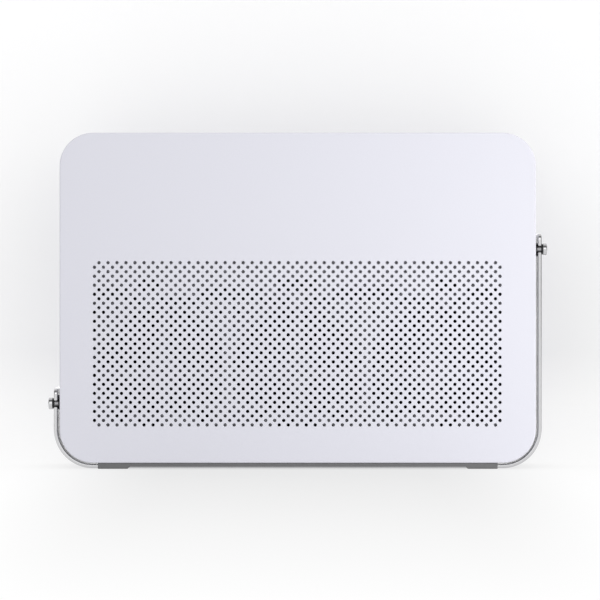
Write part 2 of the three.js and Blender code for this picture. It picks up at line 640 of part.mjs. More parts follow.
function clampSet({ name, side, y, z }) {
  const outerFrom = STRAP_OUTER + 0.05;
  const headFrom = outerFrom + OUTER_WASHER.thick + 0.05;
  const { head, headLength, shoulder, thread, reach } = SCREW;
  const at = (profile, segments) => turnedX(profile, side, 0, y, z, segments);
  const innerWasher = ring(INNER_WASHER.bore, INNER_WASHER.radius, HALF + 0.05, STRAP_INNER - 0.05);
  place('inner_washer_' + name, at(innerWasher), BLACK_RUBBER);
  const outerWasher = ring(OUTER_WASHER.bore, OUTER_WASHER.radius, outerFrom, outerFrom + OUTER_WASHER.thick);
  place('outer_washer_' + name, at(outerWasher), BLACK_RUBBER);
  place('threaded_insert_' + name,
    at(ring(INSERT.bore, INSERT.outer, HALF - WALL - INSERT.length, HALF - WALL), 12), BRASS);
  place('clamp_screw_' + name, at([
    [0, HALF - WALL - reach], [thread, HALF - WALL - reach], [thread, HALF - 0.2], [shoulder, HALF - 0.2],
    [shoulder, headFrom], [head, headFrom], [head, headFrom + headLength - 0.4],
    [head - 0.4, headFrom + headLength], [0, headFrom + headLength],
  ]), POLISHED_METAL);
}

// ---- Assembly ----

place('front_panel', frontPanel(), LAVENDER_WHITE);
place('body_shell', bodyShell(), LAVENDER_WHITE);
place('rear_cover', rearCover(), LAVENDER_WHITE);
coverPosts().forEach((at, i) => place('cover_screw_' + (i + 1), coverScrew(at), TINNED_STEEL));

place('fan_bracket', fanBracket(), WARM_PLASTIC);
Object.entries(FAN_X).forEach(([name, x]) => {
  place('fan_frame_' + name, fanFrame(x), WARM_PLASTIC);
  place('fan_rotor_' + name, fanRotor(x), BLACK_PLASTIC);
  place('fan_lead_' + name, fanLead(x), BLACK_RUBBER);
});

place('main_board', mainBoard(), BOARD_GREEN);
POSTS.forEach((at, i) => place('board_screw_' + (i + 1), boardScrew(at), TINNED_STEEL));
place('shield_can', box(-CAN.halfWidth, boardFace - CAN.thick, CAN.low, CAN.halfWidth, boardFace, CAN.high),
  TINNED_STEEL);
place('heat_sink', heatSink(), BLACK_ANODISED);
const lanReach = LAN.pitch / 2 - GAP;
place('lan_ports', modularJack(LAN.z, LAN.z[0] - lanReach, LAN.z.at(-1) + lanReach), BLACK_PLASTIC);
place('wan_port', modularJack([WAN_Z], WAN_Z - RJ45.width / 2, WAN_Z + RJ45.width / 2), BLACK_PLASTIC);
place('usb_port', usbPort(), TINNED_STEEL);
place('power_jack', powerJack(), BLACK_PLASTIC);

place('power_button', powerButton(), WARM_PLASTIC);
place('wps_button', roundButton(WPS), WARM_PLASTIC);
place('reset_button', roundButton(RESET), BLACK_PLASTIC);
place('light_guide', lightGuide(), CLEAR);
place('button_board', buttonBoard(), BOARD_GREEN);

ANTENNA.x.forEach((x, i) => {
  place('antenna_' + (i + 1), antenna(x), BRASS);
  place('antenna_lead_' + (i + 1), antennaLead(x), BLACK_RUBBER);
});

place('stand_strap', standStrap(), BRUSHED_METAL);
place('base_pad', basePad(), GREY_RUBBER);
everyClamp().forEach(clampSet);

export default router;
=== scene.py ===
"""Looks of the upright wireless router: perforated front, bent metal cradle, rubber pad and clamp screws.

Lengths are millimetres until add_piece() turns them into metres; those of the studio are metres.
"""

import json
import math

import bmesh
import bpy
from mathutils import Matrix, Vector
from mathutils.geometry import tessellate_polygon

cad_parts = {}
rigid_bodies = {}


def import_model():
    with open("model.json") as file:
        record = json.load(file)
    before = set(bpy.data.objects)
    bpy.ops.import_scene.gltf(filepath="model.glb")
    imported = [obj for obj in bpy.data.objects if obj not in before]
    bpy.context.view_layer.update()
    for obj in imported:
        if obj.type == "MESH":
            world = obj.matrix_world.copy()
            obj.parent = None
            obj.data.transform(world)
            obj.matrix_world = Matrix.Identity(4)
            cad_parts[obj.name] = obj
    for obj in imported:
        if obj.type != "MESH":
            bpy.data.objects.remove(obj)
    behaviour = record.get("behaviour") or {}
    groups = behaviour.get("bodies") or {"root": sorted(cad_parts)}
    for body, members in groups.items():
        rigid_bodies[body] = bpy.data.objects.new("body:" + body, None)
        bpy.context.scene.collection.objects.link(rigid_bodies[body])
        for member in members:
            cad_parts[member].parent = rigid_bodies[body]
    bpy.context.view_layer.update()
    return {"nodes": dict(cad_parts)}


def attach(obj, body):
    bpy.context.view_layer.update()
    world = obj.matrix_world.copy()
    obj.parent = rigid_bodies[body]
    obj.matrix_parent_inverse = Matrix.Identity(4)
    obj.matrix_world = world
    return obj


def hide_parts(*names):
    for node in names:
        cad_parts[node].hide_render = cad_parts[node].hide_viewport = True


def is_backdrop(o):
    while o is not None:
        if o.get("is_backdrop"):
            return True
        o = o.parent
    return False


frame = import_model()
scene = bpy.context.scene
MM = 0.001

# ---- Sizes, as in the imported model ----

HALF, LOW, TOP = 124.0, 3.1, 175.0
FRONT, REAR = -26.0, 26.0
CORNER = 17.3
WALL, PLATE, GAP = 2.0, 2.0, 0.3
RIM = (WALL + GAP, WALL + GAP + 1.2, 1.4)          # insets of the locating rim and how far it stands in

HOLE = {"pitch": 2.346, "columns": 91, "rows": 37, "middle": -0.29, "top": 107.34, "radius": 0.885}
HOLE_SIDES = 16

STRAP = {"inner": 125.25, "thick": 2.0, "half": 23.5, "ground": 0.2, "radius": 18.4, "end": 3.0,
         "above": 8.1, "slot": 1.8, "edge": 0.6}
SCREW_Z = {"left": 33.8, "right": 114.5}
SCREW_Y = 17.3
CLAMP = {"head": 3.2, "length": 2.1, "shoulder": 1.7, "shoulder_from": HALF - 0.2, "thread": 1.45,
         "pitch": 0.7, "reach": 6.5, "play": 0.05}
WASHER = {"bore": 1.8, "inner": 3.15, "inner_thick": 1.15, "outer": 2.75, "outer_thick": 0.9}
PAD = {"half": 104.1, "foot": 88.6, "front": 25.6, "lip": 1.8, "step": 1.05, "top": 3.0, "under": 2.3}
WINDOW = {"inner": 90.5, "outer": 102.2, "half": 18.0}

AIR_SLOT = {"width": 3.6, "pitch": 12.0, "count": 17, "rows": ((28, 72), (102, 146))}

FAN_X = {"left": -70.4, "middle": 0.0, "right": 70.4}
FAN_Z = 49.9
ROTOR = {"front": -18.1, "rear": -6.2, "hub": 12.5, "tip": 32.9, "bore": 3.3, "blades": 7}

LAN_Z = (80.5, 97.0, 113.5, 130.0)
WAN_Z, USB_Z, DC_Z = 148.5, 63.5, 49.5
SOCKET_X = -HALF + 0.3
BOARD_FACE = 14.7
CONTROL_Y = -12.0
BUTTON_X = -HALF - 0.8                             # outer face of the buttons and lamps
STEM = (-HALF + 3, -HALF + 5.1)                    # from the flange to the end of a button's stem
POWER_Z, WPS_Z, RESET_Z = 152.6, 95.2, 74.2
LAMP_Z = (130.6, 123.9, 115.0)


# ---- Outlines and profiles ----

def fillet(points, radius, steps, closed=False):
    """The same path with its corners rounded; radius is one number or one for each point."""
    made = []
    count = len(points)
    for i, point in enumerate(points):
        r = radius[i] if isinstance(radius, (list, tuple)) else radius
        corner = Vector(point)
        if not r or (not closed and i in (0, count - 1)):
            made.append(tuple(corner))
            continue
        back = Vector(points[i - 1]) - corner
        ahead = Vector(points[(i + 1) % count]) - corner
        room = 0.49 * min(back.length, ahead.length)
        back.normalize()
        ahead.normalize()
        half = back.angle(ahead) / 2
        if half > math.radians(89):
            made.append(tuple(corner))
            continue
        cut = min(r / math.tan(half), room)
        centre = corner + (back + ahead).normalized() * (cut / math.cos(half))
        start = corner + back * cut - centre
        turn = start.angle_signed(corner + ahead * cut - centre)
        for k in range(steps + 1):
            spoke = start.copy()
            spoke.rotate(Matrix.Rotation(-turn * k / steps, 2))
            made.append(tuple(centre + spoke))
    return made


def rounded_rect(x0, z0, x1, z1, radius, steps):
    return fillet([(x0, z0), (x1, z0), (x1, z1), (x0, z1)], radius, steps, closed=True)


def enclosure(inset, steps=24):
    return rounded_rect(-HALF + inset, LOW + inset, HALF - inset, TOP - inset, CORNER - inset, steps)


def circle(x, z, radius, steps):
    return [(x + radius * math.cos(2 * math.pi * i / steps), z + radius * math.sin(2 * math.pi * i / steps))
            for i in range(steps)]


def arc_edge(radius, steps, inset_first):
    """(inset, distance) pairs of a rounded edge, from the face to the side, or the other way round."""
    pairs = [(radius * (1 - math.sin(a)), radius * (1 - math.cos(a)))
             for a in (math.pi / 2 * k / steps for k in range(steps + 1))]
    return pairs if inset_first else pairs[::-1]


# ---- Mesh helpers ----

def ring(bm, points):
    return [bm.verts.new(p) for p in points]


def strip(bm, a, b):
    for i in range(len(a)):
        j = (i + 1) % len(a)
        bm.faces.new((a[i], a[j], b[j], b[i]))


def cap(bm, loops):
    """Fills the flat face between an outer loop of vertices and the loops inside it."""
    verts = [v for loop in loops for v in loop]
    for tri in tessellate_polygon([[v.co for v in loop] for loop in loops]):
        bm.faces.new([verts[i] for i in tri])


def tidy(bm, merge=2e-4):
    bmesh.ops.remove_doubles(bm, verts=bm.verts, dist=merge)
    bmesh.ops.recalc_face_normals(bm, faces=bm.faces)
    return bm


def merged(*parts):
    """Several closed meshes as one."""
    whole = bmesh.new()
    for part in parts:
        mesh = bpy.data.meshes.new("part")
        part.to_mesh(mesh)
        part.free()
        whole.from_mesh(mesh)
        bpy.data.meshes.remove(mesh)
    return whole


def temporary(bm):
    mesh = bpy.data.meshes.new("temporary")
    bm.to_mesh(mesh)
    obj = bpy.data.objects.new("temporary", mesh)
    scene.collection.objects.link(obj)
    return obj


def evaluated(obj):
    """The object's mesh with its modifiers, as a bmesh; the object is removed."""
    bpy.context.view_layer.update()
    depsgraph = bpy.context.evaluated_depsgraph_get()
    mesh = bpy.data.meshes.new_from_object(obj.evaluated_get(depsgraph))
    bm = bmesh.new()
    bm.from_mesh(mesh)
    bpy.data.meshes.remove(mesh)
    data = obj.data
    bpy.data.objects.remove(obj)
    (bpy.data.curves if isinstance(data, bpy.types.Curve) else bpy.data.meshes).remove(data)
    return bm


def union(bm, other):
    obj = temporary(bm)
    tool = temporary(other)
    bm.free()
    other.free()
    modifier = obj.modifiers.new("union", "BOOLEAN")
    modifier.operation = "UNION"
    modifier.solver = "EXACT"
    modifier.object = tool
    made = evaluated(obj)
    data = tool.data
    bpy.data.objects.remove(tool)
    bpy.data.meshes.remove(data)
    return made


def plate(loops, thickness, edge, resolution=2):
    """A flat plate of that outline (and holes) with rounded edges, in X and Y, centred on Z."""
    curve = bpy.data.curves.new("outline", "CURVE")
    curve.dimensions = "2D"
    curve.fill_mode = "BOTH"
    curve.extrude = thickness / 2 - edge
    curve.bevel_depth = edge
    curve.bevel_resolution = resolution
    curve.offset = -edge
    for points in loops:
        spline = curve.splines.new("POLY")
        spline.points.add(len(points) - 1)
        spline.points.foreach_set("co", [c for x, y in points for c in (x, y, 0, 1)])
        spline.use_cyclic_u = True
    obj = bpy.data.objects.new("outline", curve)
    scene.collection.objects.link(obj)
    return tidy(evaluated(obj), 1e-3)


def placed(bm, u, v, w, origin):
    """Turns the mesh so that its X, Y and Z run along u, v and w, and moves it to origin."""
    turn = Matrix((u, v, w)).transposed().to_4x4()
    bmesh.ops.transform(bm, matrix=Matrix.Translation(origin) @ turn, verts=bm.verts)
    return bm


def facing_front(bm, y):
    return placed(bm, (1, 0, 0), (0, 0, 1), (0, -1, 0), (0, y, 0))


def facing_side(bm, x):
    """Plate X runs along the depth and plate Y runs up."""
    return placed(bm, (0, 1, 0), (0, 0, 1), (1, 0, 0), (x, 0, 0))


def turned(profile, segments, closed=False):
    """Lathe-turned about X. A profile point is (radius, distance along X); a radius may be a function
    of the angle."""
    bm = bmesh.new()
    rows = []
    for radius, along in profile:
        if radius == 0:
            rows.append([bm.verts.new((along, 0, 0))])
            continue
        row = []
        for i in range(segments):
            a = 2 * math.pi * i / segments
            r = radius(a) if callable(radius) else radius
            row.append(bm.verts.new((along, r * math.cos(a), r * math.sin(a))))
        rows.append(row)
    pairs = list(zip(rows, rows[1:])) + ([(rows[-1], rows[0])] if closed else [])
    for a, b in pairs:
        if len(a) == 1 and len(b) == 1:
            continue
        for i in range(segments):
            j = (i + 1) % segments
            corners = [a[i % len(a)], a[j % len(a)], b[j % len(b)], b[i % len(b)]]
            bm.faces.new(list(dict.fromkeys(corners)))
    return tidy(bm, 1e-5)


def rounded_box(x0, y0, z0, x1, y1, z1, radius, segments=3):
    bm = bmesh.new()
    bmesh.ops.create_cube(bm, size=1)
    bmesh.ops.scale(bm, vec=(x1 - x0, y1 - y0, z1 - z0), verts=bm.verts)
    bmesh.ops.translate(bm, vec=((x0 + x1) / 2, (y0 + y1) / 2, (z0 + z1) / 2), verts=bm.verts)
    if radius:
        bmesh.ops.bevel(bm, geom=list(bm.edges), offset=radius, segments=segments, profile=0.5,
                        affect="EDGES")
    return bm


def moved(bm, x, y, z, side=1):
    """Along-X mesh set at a point, pointing away from the enclosure on that side."""
    bmesh.ops.scale(bm, vec=(side, 1, 1), verts=bm.verts)
    bmesh.ops.translate(bm, vec=(x, y, z), verts=bm.verts)
    return bm


def about_y(bm, x, y, z):
    """Turned mesh whose axis is brought from X to Y."""
    return placed(bm, (0, 1, 0), (1, 0, 0), (0, 0, -1), (x, y, z))


def finish_mesh(mesh, sharp):
    mesh.polygons.foreach_set("use_smooth", [True] * len(mesh.polygons))
    mesh.set_sharp_from_angle(angle=math.radians(sharp))


def add_piece(name, bm, material, nodes=(), body="enclosure", sharp=35):
    """A visible piece on that body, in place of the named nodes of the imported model."""
    tidy(bm)
    bmesh.ops.scale(bm, vec=(MM, MM, MM), verts=bm.verts)
    mesh = bpy.data.meshes.new(name)
    bm.to_mesh(mesh)
    bm.free()
    finish_mesh(mesh, sharp)
    mesh.materials.clear()
    mesh.materials.append(material)
    obj = bpy.data.objects.new(name, mesh)
    scene.collection.objects.link(obj)
    obj.modifiers.new("even_normals", "WEIGHTED_NORMAL").keep_sharp = True
    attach(obj, body)
    if nodes:
        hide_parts(*nodes)
    return obj


def add_bevel(obj, width, segments=2):
    bevel = obj.modifiers.new("soft_edges", "BEVEL")
    bevel.width = width * MM
    bevel.segments = segments
    bevel.limit_method = "ANGLE"
    bevel.angle_limit = math.radians(40)
    bevel.use_clamp_overlap = True


# ---- Materials ----

def arithmetic(nodes, operation):
    node = nodes.new("ShaderNodeMath")
    node.operation = operation
    return node


def remap(nodes, low, high, to_low=0, to_high=1):
    """A map range node that turns values from low to high into values from to_low to to_high."""
    node = nodes.new("ShaderNodeMapRange")
    for name, value in (("From Min", low), ("From Max", high), ("To Min", to_low), ("To Max", to_high)):
        node.inputs[name].default_value = value
    return node


def make_material(name, colour, roughness, metallic=0.0, tint=0.03, tint_scale=900.0, rough_spread=0.06,
                  rough_scale=60.0, bump=0.05, bump_scale=2600.0, stretch=(1, 1, 1), uv=None, sockets=None):
    """A finish with fine grain: colour, gloss and height each vary a little over the surface."""
    material = bpy.data.materials.new(name)
    material.use_nodes = True
    nodes, links = material.node_tree.nodes, material.node_tree.links
    shader = nodes["Principled BSDF"]
    shader.inputs["Metallic"].default_value = metallic
    for key, value in (sockets or {}).items():
        shader.inputs[key].default_value = value
    mapping = nodes.new("ShaderNodeMapping")
    mapping.inputs["Scale"].default_value = stretch
    if uv:
        source = nodes.new("ShaderNodeUVMap")
        source.uv_map = uv
        links.new(source.outputs["UV"], mapping.inputs["Vector"])
    else:
        source = nodes.new("ShaderNodeTexCoord")
        links.new(source.outputs["Object"], mapping.inputs["Vector"])

    def noise(scale, detail):
        made = nodes.new("ShaderNodeTexNoise")
        made.inputs["Scale"].default_value = scale
        made.inputs["Detail"].default_value = detail
        links.new(mapping.outputs["Vector"], made.inputs["Vector"])
        return made

    fine = noise(tint_scale, 3)
    shades = nodes.new("ShaderNodeMix")
    shades.data_type = "RGBA"
    shades.inputs["A"].default_value = (*[c * (1 - tint) for c in colour], 1)
    shades.inputs["B"].default_value = (*[min(1, c * (1 + tint)) for c in colour], 1)
    links.new(fine.outputs["Fac"], shades.inputs["Factor"])
    links.new(shades.outputs["Result"], shader.inputs["Base Color"])

    gloss = remap(nodes, 0, 1, max(0.02, roughness - rough_spread), min(1, roughness + rough_spread))
    links.new(noise(rough_scale, 4).outputs["Fac"], gloss.inputs["Value"])
    links.new(gloss.outputs["Result"], shader.inputs["Roughness"])

    height = nodes.new("ShaderNodeBump")
    height.inputs["Strength"].default_value = bump
    height.inputs["Distance"].default_value = 0.0002
    links.new(noise(bump_scale, 2).outputs["Fac"], height.inputs["Height"])
    links.new(height.outputs["Normal"], shader.inputs["Normal"])
    return material


PAINT = make_material("matte_paint", (0.538, 0.538, 0.589), 0.55, tint=0.03, tint_scale=1500, bump=0.16,
                      bump_scale=3200, sockets={"Specular IOR Level": 0.35})
SHELL_PLASTIC = make_material("shell_plastic", (0.575, 0.575, 0.628), 0.16, tint=0.02, bump=0.1,
                              bump_scale=2200)
INNER = make_material("moulded_inner_plastic", (0.66, 0.66, 0.68), 0.55, tint=0.02, bump=0.08,
                      bump_scale=1500)
FRAME_GREY = make_material("fan_frame_plastic", (0.40, 0.40, 0.42), 0.5, tint=0.03, bump=0.06,
                           bump_scale=1500)
BLACK = make_material("black_plastic", (0.022, 0.022, 0.025), 0.42, tint=0.2, bump=0.08, bump_scale=1800)
KEY = make_material("key_plastic", (0.42, 0.42, 0.45), 0.4, tint=0.03, bump=0.04, bump_scale=1800)
SHEATH = make_material("lead_sheath", (0.02, 0.02, 0.022), 0.5, tint=0.2, bump=0.05)
BOARD = make_material("circuit_board", (0.008, 0.045, 0.022), 0.5, tint=0.25, tint_scale=140, bump=0.05,
                      bump_scale=400, sockets={"Coat Weight": 0.4, "Coat Roughness": 0.25})
STEEL = make_material("plated_steel", (0.62, 0.63, 0.64), 0.28, metallic=1.0, tint=0.04, bump=0.03)
ANODISED = make_material("black_anodised_fins", (0.017, 0.017, 0.018), 0.8, tint=0.2, bump=0.08,
                         stretch=(1, 1, 0.05), sockets={"Specular IOR Level": 0.1})
ROTOR_PLASTIC = make_material("matte_rotor_plastic", (0.015, 0.015, 0.016), 0.85, tint=0.2, bump=0.06,
                              bump_scale=1800, sockets={"Specular IOR Level": 0.12})
LAMP = make_material("lamp_plastic", (0.85, 0.87, 0.9), 0.18, tint=0.01, bump=0.01,
                     sockets={"Transmission Weight": 0.55, "IOR": 1.49})
BRASS = make_material("brass", (0.62, 0.46, 0.2), 0.3, metallic=1.0, tint=0.06, bump=0.04)
STRAP_METAL = make_material("satin_strap_metal", (0.62, 0.62, 0.63), 0.12, metallic=1.0, tint=0.035,
                            tint_scale=1500, rough_spread=0.05, rough_scale=900, bump=0.05, bump_scale=1800,
                            stretch=(0.03, 1, 1), uv="flat")
PAD_RUBBER = make_material("pad_rubber", (0.105, 0.105, 0.108), 0.7, tint=0.08, bump=0.22, bump_scale=1900)
WASHER_RUBBER = make_material("washer_rubber", (0.012, 0.012, 0.013), 0.5, tint=0.2, bump=0.1,
                              bump_scale=1600)
SCREW_METAL = make_material("polished_screw", (0.58, 0.58, 0.59), 0.09, metallic=1.0, tint=0.02,
                            rough_spread=0.03, bump=0.015, bump_scale=900)


def paint_shade_between(material, low, high, colour, roughness):
    """Paints shade onto a finish, darker and with another roughness, where its distance from the middle
    plane, along X, lies between two values.
    """
    nodes, links = material.node_tree.nodes, material.node_tree.links
    shader = nodes["Principled BSDF"]
    coord = nodes.new("ShaderNodeTexCoord")
    axes = nodes.new("ShaderNodeSeparateXYZ")
    links.new(coord.outputs["Object"], axes.inputs["Vector"])
    away = arithmetic(nodes, "ABSOLUTE")
    links.new(axes.outputs["X"], away.inputs[0])
    zone = arithmetic(nodes, "COMPARE")
    zone.inputs[1].default_value = (low + high) / 2 * MM
    zone.inputs[2].default_value = (high - low) / 2 * MM
    links.new(away.outputs["Value"], zone.inputs[0])
    tone = nodes.new("ShaderNodeMix")
    tone.data_type = "RGBA"
    links.new(zone.outputs["Value"], tone.inputs["Factor"])
    links.new(shader.inputs["Base Color"].links[0].from_socket, tone.inputs["A"])
    tone.inputs["B"].default_value = (*colour, 1)
    links.new(tone.outputs["Result"], shader.inputs["Base Color"])
    gloss = nodes.new("ShaderNodeMix")
    links.new(zone.outputs["Value"], gloss.inputs["Factor"])
    links.new(shader.inputs["Roughness"].links[0].from_socket, gloss.inputs["A"])
    gloss.inputs["B"].default_value = roughness
    links.new(gloss.outputs["Result"], shader.inputs["Roughness"])


# Painted shade on the screws' shoulders, between the enclosure and the heads, through the washers and the
# band's slot; they are also made rougher there.
paint_shade_between(SCREW_METAL, CLAMP["shoulder_from"], STRAP["inner"] + STRAP["thick"] + 1,
               (0.46, 0.46, 0.47), 0.45)


# ---- Front panel ----

def hole_point(i, j):
    return (HOLE["middle"] + (i - (HOLE["columns"] - 1) / 2) * HOLE["pitch"], HOLE["top"] - j * HOLE["pitch"])


def front_panel():
    """Each hole sits in a diamond that meets its neighbours' corner to corner, at every second grid point."""
    bm = bmesh.new()
    y0, y1 = FRONT, FRONT + PLATE
    front_corners, back_corners = {}, {}

    def corner(store, i, j, y):
        if (i, j) not in store:
            x, z = hole_point(i, j)
            store[i, j] = bm.verts.new((x, y, z))
        return store[i, j]

    quarter = HOLE_SIDES // 4
    spokes = [(math.cos(2 * math.pi * k / HOLE_SIDES), math.sin(2 * math.pi * k / HOLE_SIDES))
              for k in range(HOLE_SIDES)]
    r = HOLE["radius"]
    lead_in = 0.12
    for j in range(HOLE["rows"]):
        for i in range(1 - j % 2, HOLE["columns"], 2):
            x, z = hole_point(i, j)
            rings = [ring(bm, [(x + c * rr, y, z + s * rr) for c, s in spokes])
                     for rr, y in ((r + lead_in, y0), (r, y0 + lead_in), (r, y1))]
            strip(bm, rings[0], rings[1])
            strip(bm, rings[1], rings[2])
            around = ((i + 1, j), (i, j - 1), (i - 1, j), (i, j + 1))
            for store, y, hole in ((front_corners, y0, rings[0]), (back_corners, y1, rings[2])):
                tips = [corner(store, *key, y) for key in around]
                for q in range(4):
                    a, b = tips[q], tips[(q + 1) % 4]
                    arc = [hole[(q * quarter + k) % HOLE_SIDES] for k in range(quarter + 1)]
                    half = quarter // 2
                    for k in range(half):
                        bm.faces.new((a, arc[k], arc[k + 1]))
                        bm.faces.new((b, arc[half + k], arc[half + k + 1]))
                    bm.faces.new((a, arc[half], b))

    last_i, last_j = HOLE["columns"] - 1, HOLE["rows"] - 1
    border = [(i, 0 if i % 2 == 0 else -1) for i in range(last_i)]
    border += [(last_i if j % 2 == 0 else last_i + 1, j) for j in range(last_j)]
    border += [(i, last_j if i % 2 == 0 else last_j + 1) for i in range(last_i, 0, -1)]
    border += [(0 if j % 2 == 0 else -1, j) for j in range(last_j, 0, -1)]

    edge = 0.55
    back_edge = 0.2
    near, far, stand = RIM
    profile = [(far + 0.3, y1), (far, y1), (far, y1 + stand), (near, y1 + stand), (near, y1)]
    profile += [(back_edge + 0.3, y1)]
    profile += [(inset, y1 - d) for inset, d in arc_edge(back_edge, 3, False)[::-1]]
    profile += [(inset, y0 + d) for inset, d in arc_edge(edge, 5, True)[::-1]]
    profile += [(edge + 0.4, y0)]
    loops = [ring(bm, [(x, y, z) for x, z in enclosure(inset)]) for inset, y in profile]
    for a, b in zip(loops, loops[1:]):
        strip(bm, a, b)
    cap(bm, [loops[-1], [front_corners[key] for key in border]])
    cap(bm, [loops[0], [back_corners[key] for key in border]])
    return bm


add_piece("perforated_front_panel", front_panel(), PAINT, ["front_panel"])


# ---- Shell and rear cover ----

def holed_faces(bm, outer_front, outer_back, holes, at):
    """Closes the flat faces between two outer loops and cuts the holes through both.

    A hole is (outline, profile): outline(grow) gives its points, and profile lists (grow, depth) from the
    first face to the second. at(u, v, depth) places a point."""
    fronts, backs = [outer_front], [outer_back]
    for outline, profile in holes:
        rings = [ring(bm, [at(u, v, depth) for u, v in outline(grow)]) for grow, depth in profile]
        for a, b in zip(rings, rings[1:]):
            strip(bm, a, b)
        fronts.append(rings[0])
        backs.append(rings[-1])
    cap(bm, fronts)
    cap(bm, backs)


def cover_posts():
    inset = (CORNER - WALL - 3) / math.sqrt(2)
    x = HALF - CORNER + inset
    return [(sx * x, z) for z in (LOW + CORNER - inset, TOP - CORNER + inset) for sx in (-1, 1)]


def round_outline(y, z, radius, steps=32):
    return lambda grow: circle(y, z, radius + grow, steps)


def slot_outline(z0, z1, y0, y1, radius, steps=5):
    return lambda grow: rounded_rect(y0 - grow, z0 - grow, y1 + grow, z1 + grow, radius + grow, steps)


def power_outline(grow=0.0):
    tall, long = 4.1 / 2 + grow, 9.0 / 2 + grow
    return rounded_rect(CONTROL_Y - long, POWER_Z - tall, CONTROL_Y + long, POWER_Z + tall, tall - 0.01, 10)


def side_wall_holes(side):
    """Everything cut through the left or the right wall."""
    holes = [round_outline(y, SCREW_Z[side], 2.8) for y in (-SCREW_Y, SCREW_Y)]
    if side == "left":
        jack = (BOARD_FACE - 13.5 - GAP, BOARD_FACE + GAP)
        holes += [
            slot_outline(LAN_Z[0] - 8.25, LAN_Z[-1] + 8.25, *jack, 0.8),
            slot_outline(WAN_Z - 8.25, WAN_Z + 8.25, *jack, 0.8),
            slot_outline(USB_Z - 7.55, USB_Z + 7.55, BOARD_FACE - 6.8 - GAP, BOARD_FACE + GAP, 0.8),
            slot_outline(DC_Z - 5.8, DC_Z + 5.8, BOARD_FACE - 9 - GAP, BOARD_FACE + GAP, 0.8),
            round_outline(CONTROL_Y, WPS_Z, 1.65 + GAP), round_outline(CONTROL_Y, RESET_Z, 1.3 + GAP),
            lambda grow: power_outline(GAP + grow)]
        holes += [round_outline(CONTROL_Y, z, 1.25 + GAP, 24) for z in LAMP_Z]
    return holes


def body_shell():
    """A band with softened edges; its flat left and right walls are made with their holes in them."""
    edge, chamfer = 0.35, 0.15
    front, rear = FRONT + PLATE + GAP, REAR - PLATE - GAP
    profile = [(WALL, front)] + [(i, front + d) for i, d in arc_edge(edge, 3, True)]
    profile += [(i, rear - d) for i, d in arc_edge(edge, 3, False)] + [(WALL, rear)]
    bm = bmesh.new()
    steps = 24
    loops = [ring(bm, [(x, y, z) for x, z in enclosure(inset, steps)]) for inset, y in profile]
    count = len(loops[0])
    flats = {}
    for index in range(count):
        p, q = loops[0][index].co, loops[0][(index + 1) % count].co
        if abs(p.x - q.x) < 1e-4 and abs(p.z - q.z) > 100:
            flats["left" if p.x < 0 else "right"] = index
    pairs = list(zip(loops, loops[1:] + loops[:1]))
    for a, b in pairs:
        wide = (a[0].co - b[0].co).length > 10
        for i in range(count):
            if wide and i in flats.values():
                continue
            j = (i + 1) % count
            bm.faces.new((a[i], a[j], b[j], b[i]))
    (outer_a, outer_b), (inner_a, inner_b) = [p for p in pairs if (p[0][0].co - p[1][0].co).length > 10]
    for side, sign in (("left", -1), ("right", 1)):
        i = flats[side]
        j = (i + 1) % count
        holes = [(outline, [(chamfer, 0), (0, chamfer), (0, WALL)]) for outline in side_wall_holes(side)]
        holed_faces(bm, [outer_a[i], outer_a[j], outer_b[j], outer_b[i]],
                    [inner_a[i], inner_a[j], inner_b[j], inner_b[i]], holes,
                    lambda y, z, depth: (sign * (HALF - depth), y, z))
    post = [(0, -10), (3.7, -10), (4, -9.7), (4, rear - 0.05), (0, rear - 0.05)]
    posts = [about_y(turned(post, 24), x, 0, z) for x, z in cover_posts()]
    inner = HALF - WALL
    boss = [(2.8, inner - 7.5), (3.4, inner - 7.5), (3.4, inner + 0.3), (2.8, inner + 0.3)]
    bosses = [moved(turned(boss, 24, closed=True), 0, y, SCREW_Z[side], sign)
              for side, sign in (("left", -1), ("right", 1)) for y in (-SCREW_Y, SCREW_Y)]
    return merged(bm, *posts, *bosses)


def rear_cover():
    edge, chamfer = 0.35, 0.3
    profile = [(i, REAR - PLATE + d) for i, d in arc_edge(0.15, 2, True)]
    profile += [(i, REAR - d) for i, d in arc_edge(edge, 4, False)]
    bm = bmesh.new()
    loops = [ring(bm, [(x, y, z) for x, z in enclosure(inset)]) for inset, y in profile]
    for a, b in zip(loops, loops[1:]):
        strip(bm, a, b)
    holes = []
    half = AIR_SLOT["width"] / 2
    rounded = [(chamfer * (1 - math.sin(t)), chamfer * (1 - math.cos(t)))
               for t in (0, math.pi / 6, math.pi / 3, math.pi / 2)]
    for low, high in AIR_SLOT["rows"]:
        for i in range(AIR_SLOT["count"]):
            x = (i - (AIR_SLOT["count"] - 1) / 2) * AIR_SLOT["pitch"]
            holes.append((slot_outline(low, high, x - half, x + half, half - 0.01, 6),
                          rounded + [(0, PLATE)]))
    for x, z in cover_posts():
        holes.append((round_outline(x, z, 2.9), [(0.1, 0), (0, 0.1), (0, 1.2), (-1.3, 1.2), (-1.3, PLATE)]))
    holed_faces(bm, loops[-1], loops[0], holes, lambda x, z, depth: (x, REAR - depth, z))
    return bm


def cross_recess(angle, wide, narrow):
    """Radius of a four-armed recess at that angle."""
    turn = (angle + math.pi / 4) % (math.pi / 2) - math.pi / 4
    return min(wide, narrow / max(1e-6, abs(math.sin(turn))) if turn else wide)


def recessed_head(head, thick, shank, length, wide, narrow, deep):
    """Pan head with a four-armed recess, on a plain shank; it points along +X."""
    def arms(angle):
        return cross_recess(angle, wide, narrow)

    def arms_low(angle):
        return cross_recess(angle, wide * 0.55, narrow * 0.7)

    profile = [(0, -length), (shank * 0.6, -length), (shank, -length + shank), (shank, 0)]
    dome = [(shank, 0), (head, 0), (head, thick * 0.45), (head * 0.8, thick), (wide * 1.02, thick)]
    profile += fillet(dome, [0, 0.1, 0.35, 0.5, 0], 4)[1:]
    return turned(profile + [(arms, thick), (arms_low, thick - deep), (0, thick - deep * 1.2)], 64)


